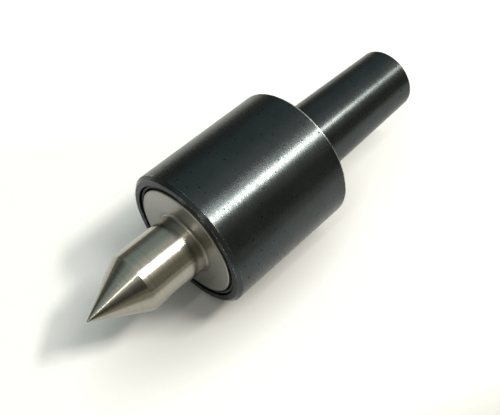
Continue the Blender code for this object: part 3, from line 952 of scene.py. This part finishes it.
@dataclass
class FrontBearing:
    """The grooved ball bearing behind the seal, apart from its cage and balls.

    Attributes:
        middle_y: Place of its middle.
        half_width: Half its width.
        bore_radius, outer_radius: Its bore and its outside.
        pitch, race: Distance of the balls from the axis, and the radius of the grooves.
        outer_land, inner_land: The lands beside the grooves.
        recess, shelf: The shields' seat: how deep it is, and where it starts.
        edge: The rounding of its outer edges.
        shield_inner, shield_outer: The shields' radii.
        shield_near, shield_far: Distances of a shield's two faces from the middle.
        shield_bend, shield_dish: How a shield is dished: the radius of its bend, and how far.
    """

    middle_y: float
    half_width: float = 4.0 * MM
    bore_radius: float = 6.0 * MM
    outer_radius: float = 14.0 * MM
    pitch: float = 10.0 * MM
    race: float = 2.481 * MM
    outer_land: float = 11.476 * MM
    inner_land: float = 8.524 * MM
    recess: float = 0.4 * MM
    shelf: float = 3.0 * MM
    edge: float = 0.4 * MM
    shield_inner: float = 8.78 * MM
    shield_outer: float = 11.62 * MM
    shield_near: float = 3.26 * MM
    shield_far: float = 3.74 * MM
    shield_bend: float = 1.2 * MM
    shield_dish: float = 0.08 * MM

    def outer_ring(self) -> Turned:
        """Set out the outer ring: a plain outside, and lands on both sides of its groove.

        Returns:
            The ring's surface.
        """
        lean = math.acos((self.outer_land - self.pitch) / self.race)
        step = self.outer_land + self.recess
        corners = [
            Corner(self.outer_radius, -self.half_width, self.edge),
            Corner(self.outer_radius, self.half_width, self.edge),
            Corner(step, self.half_width, EDGE),
            Corner(step, self.shelf, FINE_EDGE),
            Corner(self.outer_land, self.shelf, FINE_EDGE),
            *arc_corners(self.pitch, self.race, math.pi / 2 - lean, math.pi / 2 + lean),
            Corner(self.outer_land, -self.shelf, FINE_EDGE),
            Corner(step, -self.shelf, FINE_EDGE),
            Corner(step, -self.half_width, EDGE),
        ]
        return Turned(corners, center_y=self.middle_y)

    def inner_ring(self) -> Turned:
        """Set out the inner ring: a plain bore, and lands on both sides of its groove.

        Returns:
            The ring's surface.
        """
        lean = math.acos((self.pitch - self.inner_land) / self.race)
        corners = [
            Corner(self.bore_radius, self.half_width, self.edge),
            Corner(self.bore_radius, -self.half_width, self.edge),
            Corner(self.inner_land, -self.half_width, EDGE),
            *arc_corners(self.pitch, self.race, -math.pi / 2 - lean, -math.pi / 2 + lean),
            Corner(self.inner_land, self.half_width, EDGE),
        ]
        return Turned(corners, center_y=self.middle_y)

    def shield(self, side: float) -> Turned:
        """Set out a pressed shield, thin and a little dished.

        Args:
            side: -1 for the one in front, 1 for the one behind.

        Returns:
            The shield's surface.
        """
        near, far = side * self.shield_near, side * self.shield_far
        middle = (self.shield_inner + self.shield_outer) / 2
        dish = side * self.shield_dish
        corners = [
            Corner(self.shield_inner, near, FINE_EDGE),
            Corner(middle, near + dish, self.shield_bend),
            Corner(self.shield_outer, near, FINE_EDGE),
            Corner(self.shield_outer, far, SOFT_EDGE),
            Corner(middle, far - dish, self.shield_bend),
            Corner(self.shield_inner, far, SOFT_EDGE),
        ]
        return Turned(corners, center_y=self.middle_y, sides=192)

    def build(self) -> None:
        """Make the rings and shields and dress them."""
        steel, pressed = BEARING_STEEL.material(), SHIELD_STEEL.material()
        outer, inner = self.outer_ring().mesh("outer_race"), self.inner_ring().mesh("inner_race")
        add_piece("outer_race", outer, steel, Carrier.HOUSING, "front_outer_ring")
        add_piece("inner_race", inner, steel, Carrier.SPINDLE, "front_inner_ring")
        for side, node in ((-1.0, "front_shield"), (1.0, "rear_shield")):
            name = f"{node}_pressing"
            add_piece(name, self.shield(side).mesh(name), pressed, Carrier.HOUSING, node)


@dataclass
class ThrustBearing:
    """The thrust ball bearing's two grooved washers.

    Attributes:
        middle_y: Place of its middle.
        inner_face: Distance of a washer's inner face from the middle.
        thickness: Thickness of a washer.
        pitch, race: Distance of the balls from the axis, and the radius of the grooves.
        edge: The rounding of the washers' edges.
        shaft_bore, shaft_outside: Radii of the washer on the spindle.
        housing_bore, housing_outside: Radii of the one in the housing.
    """

    middle_y: float
    inner_face: float = 1.6 * MM
    thickness: float = 2.9 * MM
    pitch: float = 8.5 * MM
    race: float = 2.481 * MM
    edge: float = 0.3 * MM
    shaft_bore: float = 5.0 * MM
    shaft_outside: float = 11.5 * MM
    housing_bore: float = 5.5 * MM
    housing_outside: float = 12.0 * MM

    def washer(self, side: float, bore: float, outside: float) -> Turned:
        """Set out a washer with its groove towards the balls.

        Args:
            side: -1 for the washer in front, 1 for the one behind.
            bore: Its bore radius.
            outside: Its outer radius.

        Returns:
            The washer's surface.
        """
        lean = math.acos(self.inner_face / self.race)
        groove = arc_corners(self.pitch, self.race, -lean, lean)
        corners = [
            Corner(bore, self.inner_face, self.edge),
            *groove,
            Corner(outside, self.inner_face, self.edge),
            Corner(outside, self.inner_face + self.thickness, self.edge),
            Corner(bore, self.inner_face + self.thickness, self.edge),
        ]
        placed = [Corner(c.radius, side * c.y, c.round, c.wear_and_shade) for c in corners]
        return Turned(placed, center_y=self.middle_y, sides=192)

    def build(self) -> None:
        """Make both washers and dress them."""
        steel = bpy.data.materials["bearing_steel"]
        washers = (
            ("shaft_washer", -1.0, self.shaft_bore, self.shaft_outside, Carrier.SPINDLE),
            ("housing_washer", 1.0, self.housing_bore, self.housing_outside, Carrier.HOUSING),
        )
        for name, side, bore, outside, body in washers:
            mesh = self.washer(side, bore, outside).mesh(name)
            add_piece(name, mesh, steel, body, f"thrust_{name}")


@dataclass
class NeedleCup:
    """The drawn cup of the needle bearing, with its lips turned in.

    Attributes:
        middle_y: Place of its middle.
        half_length: Half its length.
        outer_radius, inner_radius: Its outside and the race inside it.
        lip_radius, lip_thickness: The lips at its ends.
        bend: The rounding where the lips turn in.
    """

    middle_y: float
    half_length: float = 5.0 * MM
    outer_radius: float = 6.0 * MM
    inner_radius: float = 5.6 * MM
    lip_radius: float = 4.575 * MM
    lip_thickness: float = 0.5 * MM
    bend: float = 0.4 * MM

    def build(self) -> None:
        """Make the cup and dress it."""
        half, inside = self.half_length, self.half_length - self.lip_thickness
        corners = [
            Corner(self.outer_radius, -half, self.bend),
            Corner(self.outer_radius, half, self.bend),
            Corner(self.lip_radius, half, SOFT_EDGE),
            Corner(self.lip_radius, inside, SOFT_EDGE),
            Corner(self.inner_radius, inside, EDGE),
            Corner(self.inner_radius, -inside, EDGE),
            Corner(self.lip_radius, -inside, SOFT_EDGE),
            Corner(self.lip_radius, -half, SOFT_EDGE),
        ]
        mesh = Turned(corners, center_y=self.middle_y, sides=160).mesh("drawn_cup")
        steel = bpy.data.materials["bearing_steel"]
        add_piece("drawn_cup", mesh, steel, Carrier.HOUSING, "needle_cup")


@dataclass
class RollingPieces:
    """The balls and needle rollers, each in its own CAD node's place.

    Attributes:
        ball_radius: Radius of a ball.
        ball_steps: Faces along a quarter of its girth.
        roller_radius, roller_half, roller_edge: Radius, half the length and end rounding of a roller.
        roller_guard: The guard distance beside its rounding.
    """

    ball_radius: float = 2.381 * MM
    ball_steps: int = 12
    roller_radius: float = 0.7 * MM
    roller_half: float = 3.78 * MM
    roller_edge: float = 0.25 * MM
    roller_guard: float = 0.3 * MM

    def ball(self, name: str, center: np.ndarray) -> bpy.types.Mesh:
        """Make a ball: a cube's grid of points, each pushed out to the same distance from its middle.

        The grid's steps are even in angle, so that the faces stay nearly square.

        Args:
            name: The mesh's name.
            center: Its middle.

        Returns:
            The mesh.
        """
        n = self.ball_steps
        reach = np.tan(np.linspace(-math.pi / 4, math.pi / 4, n + 1))
        u, v = (item.ravel() for item in np.meshgrid(reach, reach, indexing="ij"))
        one = np.ones_like(u)
        sides = [np.stack([side * one, u, v], axis=1) for side in (1, -1)]
        points = np.concatenate([np.roll(side, turn, axis=1) for turn in range(3) for side in sides])
        points /= np.linalg.norm(points, axis=1, keepdims=True)
        kept, back = np.unique(np.round(points, 7), axis=0, return_inverse=True)
        ids = np.arange((n + 1) ** 2).reshape(n + 1, n + 1)
        quad = np.stack([ids[:-1, :-1], ids[1:, :-1], ids[1:, 1:], ids[:-1, 1:]], axis=-1).reshape(-1, 4)
        faces = []
        for i in range(6):
            turned = quad if i % 2 == 0 else quad[:, ::-1]
            faces.append(back.reshape(-1)[turned + i * (n + 1) ** 2])
        mesh = bpy.data.meshes.new(name)
        mesh.from_pydata((center + self.ball_radius * kept).tolist(), [], np.concatenate(faces).tolist())
        point_outwards(mesh)
        mesh.shade_smooth()
        return mesh

    def roller(self, name: str, center: np.ndarray) -> bpy.types.Mesh:
        """Make a needle roller with rounded ends, turned round its own axis.

        Args:
            name: The mesh's name.
            center: Its middle.

        Returns:
            The mesh.
        """
        corners = [
            Corner(0.0, -self.roller_half),
            Corner(self.roller_radius, -self.roller_half, self.roller_edge),
            Corner(self.roller_radius, self.roller_half, self.roller_edge),
            Corner(0.0, self.roller_half),
        ]
        mesh = Turned(corners, ring=False, sides=40, steps=4, guards=(self.roller_guard,)).mesh(name)
        mesh.transform(Matrix.Translation(center.tolist()))
        return mesh

    def build(self) -> None:
        """Make every ball and roller and dress it."""
        steel = ROLLING_STEEL.material()
        kinds = (
            ("front_ball", 8, self.ball),
            ("thrust_ball", 8, self.ball),
            ("needle_roller", 12, self.roller),
        )
        for kind, count, make in kinds:
            for number in range(1, count + 1):
                node = f"{kind}_{number:02d}"
                name = f"fine_{node}"
                add_piece(name, make(name, middle_of(node)), steel, node, node)


@dataclass
class KeptNodes:
    """The cages and the circlip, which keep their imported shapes.

    Attributes:
        brass: The nodes with a brass finish.
    """

    brass: tuple[str, ...] = ("front_cage", "thrust_cage")

    def build(self) -> None:
        """Give each node its finish."""
        brass = CAGE_BRASS.material()
        finishes = dict.fromkeys(self.brass, brass)
        finishes["needle_cage"] = bpy.data.materials["shield_steel"]
        finishes["circlip"] = SPRING_STEEL.material()
        for node, material in finishes.items():
            for slot in bpy.data.objects[node].material_slots:
                slot.material = material
            LOG.info("%s dressed", node)


# ---- Stage


@dataclass(frozen=True)
class Lamp:
    """An area light that faces the object.

    Attributes:
        name: The light's name.
        place: Its middle, in metres from the object.
        along: The direction of its long side.
        size: Its width and length, in metres.
        power: Its power in watts.
        colour: Its linear colour.
    """

    name: str
    place: Triple
    along: Triple
    size: tuple[float, float]
    power: float
    colour: Triple

    def build(self) -> None:
        """Hang the light."""
        data = bpy.data.lights.new(self.name, "AREA")
        data.shape = "RECTANGLE"
        data.size, data.size_y = self.size
        data.energy, data.color = self.power, self.colour
        light = bpy.data.objects.new(self.name, data)
        bpy.context.scene.collection.objects.link(light)
        place = np.array(self.place)
        back = place / np.linalg.norm(place)
        along = np.array(self.along) - np.dot(self.along, back) * back
        along /= np.linalg.norm(along)
        light.matrix_world = matrix_from(np.cross(along, back), along, back, place)


@dataclass(frozen=True)
class Zone:
    """A part of the paper with a painted tone of light or shade.

    Attributes:
        operation: DOT_PRODUCT for a side of the sheet, DISTANCE for the inside or outside of a ring.
        vector: The side's direction, or the ring's middle in metres.
        start, full: How far along it, in metres, the tone starts and is full.
        squeeze: What places along Y are multiplied by first, which makes the ring an oval.
    """

    operation: str
    vector: Triple
    start: float
    full: float
    squeeze: float = 1.0

    def share(self, w: Wiring, place: Socket) -> Socket:
        """Find how much of the zone's tone a place has.

        Args:
            w: The paper's wiring.
            place: The place.

        Returns:
            The share, from 0 to 1.
        """
        flat = w.node("ShaderNodeVectorMath", operation="MULTIPLY")
        w.feed(flat.inputs[0], place)
        flat.inputs[1].default_value = (1.0, self.squeeze, 0.0)
        return w.spread(w.measure(self.operation, flat.outputs["Vector"], self.vector), self.start, self.full)


@dataclass
class Studio:
    """Paper, light and camera.

    Attributes:
        floor_z: The height of the paper.
        paper_size: Half of the sheet's side.
        paper_tones: The two tones of its fibres.
        painted_falloff_shade, painted_light_tone, painted_shadow_tone: Painted shade on the sheet away from
        the object, painted light behind it on the left, and a painted contact shadow under it and along its
        right side.
        behind, under, away, beside: The zones with those tones, the last two with the painted falloff shade.
        room_strength: How bright the room is.
        room_end: The room's colour along the axis, in front and behind.
        room_stops: The room's colours by angle round the axis, as the share of a half turn from the right
            over the top, and the colour.
        room_ends: How far along the axis, from 0 to 1, that colour starts and is full.
        dark_patches: Dark places in the room, as direction, how close to it they start and how dark.
        patch_fade: How far they take to darken.
        lamps: The lights.
        lens, sensor: The camera's focal length and width, in mm.
        camera_place: Where the camera is.
        camera_right, camera_down: Its picture's directions.
    """

    floor_z: float
    paper_size: float = 1.2
    paper_tones: tuple[Triple, Triple] = ((0.672, 0.678, 0.684), (0.708, 0.714, 0.720))
    painted_falloff_shade: Triple = (0.27, 0.255, 0.215)
    painted_light_tone: Triple = (0.82, 0.82, 0.81)
    painted_shadow_tone: Triple = (0.43, 0.43, 0.425)
    behind: Zone = Zone("DOT_PRODUCT", (-0.85, 0.53, 0.0), 0.030, 0.060)
    under: Zone = Zone("DISTANCE", (0.006, -0.010, 0.0), 0.0185, 0.006, squeeze=0.40)
    away: Zone = Zone("DISTANCE", (-0.035, 0.010, 0.0), 0.180, 0.330)
    beside: Zone = Zone("DOT_PRODUCT", (0.904, -0.427, 0.0), 0.059, 0.086)
    room_strength: float = 0.95
    room_end: Triple = (0.40, 0.40, 0.36)
    room_ends: tuple[float, float] = (0.74, 0.93)
    room_stops: tuple[tuple[float, Triple], ...] = (
        (0.00, (0.26, 0.25, 0.20)),
        (0.10, (0.30, 0.29, 0.23)),
        (0.16, (0.28, 0.26, 0.19)),
        (0.22, (0.48, 0.46, 0.37)),
        (0.28, (0.76, 0.76, 0.66)),
        (0.36, (0.88, 0.88, 0.80)),
        (0.52, (0.88, 0.90, 0.84)),
        (0.57, (0.78, 0.84, 0.79)),
        (0.62, (0.56, 0.64, 0.61)),
        (0.70, (0.43, 0.54, 0.52)),
        (0.78, (0.42, 0.51, 0.49)),
        (0.84, (0.33, 0.39, 0.37)),
        (0.89, (0.19, 0.215, 0.19)),
        (1.00, (0.26, 0.25, 0.21)),
    )
    dark_patches: tuple[tuple[Triple, float, float], ...] = (
        ((0.57, -0.69, 0.42), 0.925, 0.30),
        ((-0.77, -0.49, 0.40), 0.955, 0.50),
    )
    patch_fade: float = 0.035
    lamps: tuple[Lamp, ...] = (
        Lamp("window", (0.437, 0.447, 0.80), (-0.21, 0.23, 0.0), (0.10, 0.25), 7.9, (1.0, 0.957, 0.855)),
        Lamp("panel", (0.66, 0.56, 0.58), (0.0, 1.0, 0.0), (0.30, 0.40), 0.06, (0.90, 1.0, 0.98)),
        Lamp("bar", (0.335, 0.208, 0.82), (0.35, 0.155, 0.0), (0.12, 0.32), 3.0, (1.0, 0.97, 0.90)),
        Lamp("tube", (0.232, -0.55, 1.2), (0.0, 1.0, 0.0), (0.035, 2.3), 4.0, (1.0, 0.985, 0.93)),
    )
    lens: float = 51.2
    sensor: float = 36.0
    camera_place: Triple = (70.485 * MM, -87.326 * MM, 128.769 * MM)
    camera_right: Triple = (0.72037, 0.69358, 0.0)
    camera_down: Triple = (0.55552, -0.57697, -0.59876)

    def paper(self) -> None:
        """Lay the plain sheet that the object lies on, with painted shade that darkens it away from the
        object, a painted contact shadow along the object's right side and painted light on its left behind
        it.
        """
        size, z = self.paper_size, self.floor_z
        mesh = bpy.data.meshes.new("paper")
        corners = [(-size, -size, z), (size, -size, z), (size, size, z), (-size, size, z)]
        mesh.from_pydata(corners, [], [(0, 1, 2, 3)])
        material, w, shader = new_material("paper")
        place = w.node("ShaderNodeTexCoord").outputs["Object"]
        paper_with_painted_light = w.mix(w.noise(place, 900.0, 3.0, 0.6), *self.paper_tones)
        # Painted light: the paper is lighter on the left behind the object, so that the body's left side
        # reflects more light.
        paper_with_painted_light = w.mix(self.behind.share(w, place), paper_with_painted_light, self.painted_light_tone)
        # Painted shadow: a dark oval on the paper under the object and along its right side stands in for a
        # contact shadow.
        paper_with_painted_light = w.mix(self.under.share(w, place), paper_with_painted_light, self.painted_shadow_tone)
        # Painted shade: the paper darkens away from the object and past its right side, as if the lamp's
        # light fell off there.
        far = w.math("MAXIMUM", self.away.share(w, place), self.beside.share(w, place))
        w.feed(shader.inputs["Base Color"], w.mix(far, paper_with_painted_light, self.painted_falloff_shade))
        shader.inputs["Roughness"].default_value = 0.9
        mesh.materials.append(material)
        sheet = bpy.data.objects.new("paper", mesh)
        bpy.context.scene.collection.objects.link(sheet)

    def room(self) -> None:
        """Build the room around the paper, as a world colour by direction."""
        world = bpy.data.worlds.new("room")
        world.use_nodes = True
        world.node_tree.nodes.clear()
        w = Wiring(world.node_tree)
        direction = w.node("ShaderNodeTexCoord").outputs["Generated"]
        split = w.node("ShaderNodeSeparateXYZ")
        w.feed(split.inputs[0], direction)
        x, y, z = split.outputs
        ramp = w.node("ShaderNodeValToRGB")
        elements = ramp.color_ramp.elements
        while len(elements) < len(self.room_stops):
            elements.new(0.5)
        for element, (place, colour) in zip(elements, self.room_stops):
            element.position = place
            element.color = (*colour, 1.0)
        w.feed(ramp.inputs[0], w.math("DIVIDE", w.math("ARCTAN2", z, x), math.pi, clamp=True))
        colour = ramp.outputs["Color"]
        for toward, near, darkest in self.dark_patches:
            dot = w.measure("DOT_PRODUCT", direction, toward)
            share = w.spread(dot, near, near + self.patch_fade, 0.0, 1.0 - darkest)
            colour = w.mix(share, colour, (0.0, 0.0, 0.0))
        endwise = w.spread(w.math("ABSOLUTE", y), *self.room_ends)
        background = w.node("ShaderNodeBackground")
        w.feed(background.inputs["Color"], w.mix(endwise, colour, self.room_end))
        background.inputs["Strength"].default_value = self.room_strength
        w.feed(w.node("ShaderNodeOutputWorld").inputs["Surface"], background.outputs[0])
        bpy.context.scene.world = world

    def camera(self) -> None:
        """Place the camera above and in front of the point, on its right."""
        data = bpy.data.cameras.new("camera")
        data.lens, data.sensor_width, data.clip_start = self.lens, self.sensor, 0.005
        camera = bpy.data.objects.new("camera", data)
        bpy.context.scene.collection.objects.link(camera)
        right, down = np.array(self.camera_right), np.array(self.camera_down)
        camera.matrix_world = matrix_from(right, -down, np.cross(down, right), np.array(self.camera_place))
        bpy.context.scene.camera = camera

    def build(self) -> None:
        """Set the stage."""
        self.paper()
        self.room()
        for lamp in self.lamps:
            lamp.build()
        self.camera()
        bpy.context.scene.view_settings.view_transform = "Standard"


def matrix_from(x: np.ndarray, y: np.ndarray, z: np.ndarray, place: np.ndarray) -> Matrix:
    """Make an object's matrix from the directions of its axes and its origin."""
    return Matrix(np.vstack([np.stack([x, y, z, place], axis=1), [0.0, 0.0, 0.0, 1.0]]).tolist())


def main() -> None:
    """Build every sub-assembly and report it."""
    logging.basicConfig(level=logging.INFO, format="%(name)s: %(message)s")
    body_low, body_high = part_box("body_and_shank")
    spindle_low, spindle_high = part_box("center_spindle")
    builders = (
        Housing(body_high[0], body_low[1], body_high[1]),
        Spindle(spindle_low[1], body_low[1], spindle_high[1]),
        FrontSeal(),
        FrontBearing(middle_of("front_outer_ring")[1]),
        ThrustBearing(middle_of("thrust_cage")[1]),
        NeedleCup(middle_of("needle_cup")[1]),
        RollingPieces(),
        KeptNodes(),
        Studio(body_low[2]),
    )
    for builder in builders:
        builder.build()
        LOG.info("%s built", type(builder).__name__)


if __name__ == "__main__":
    main()
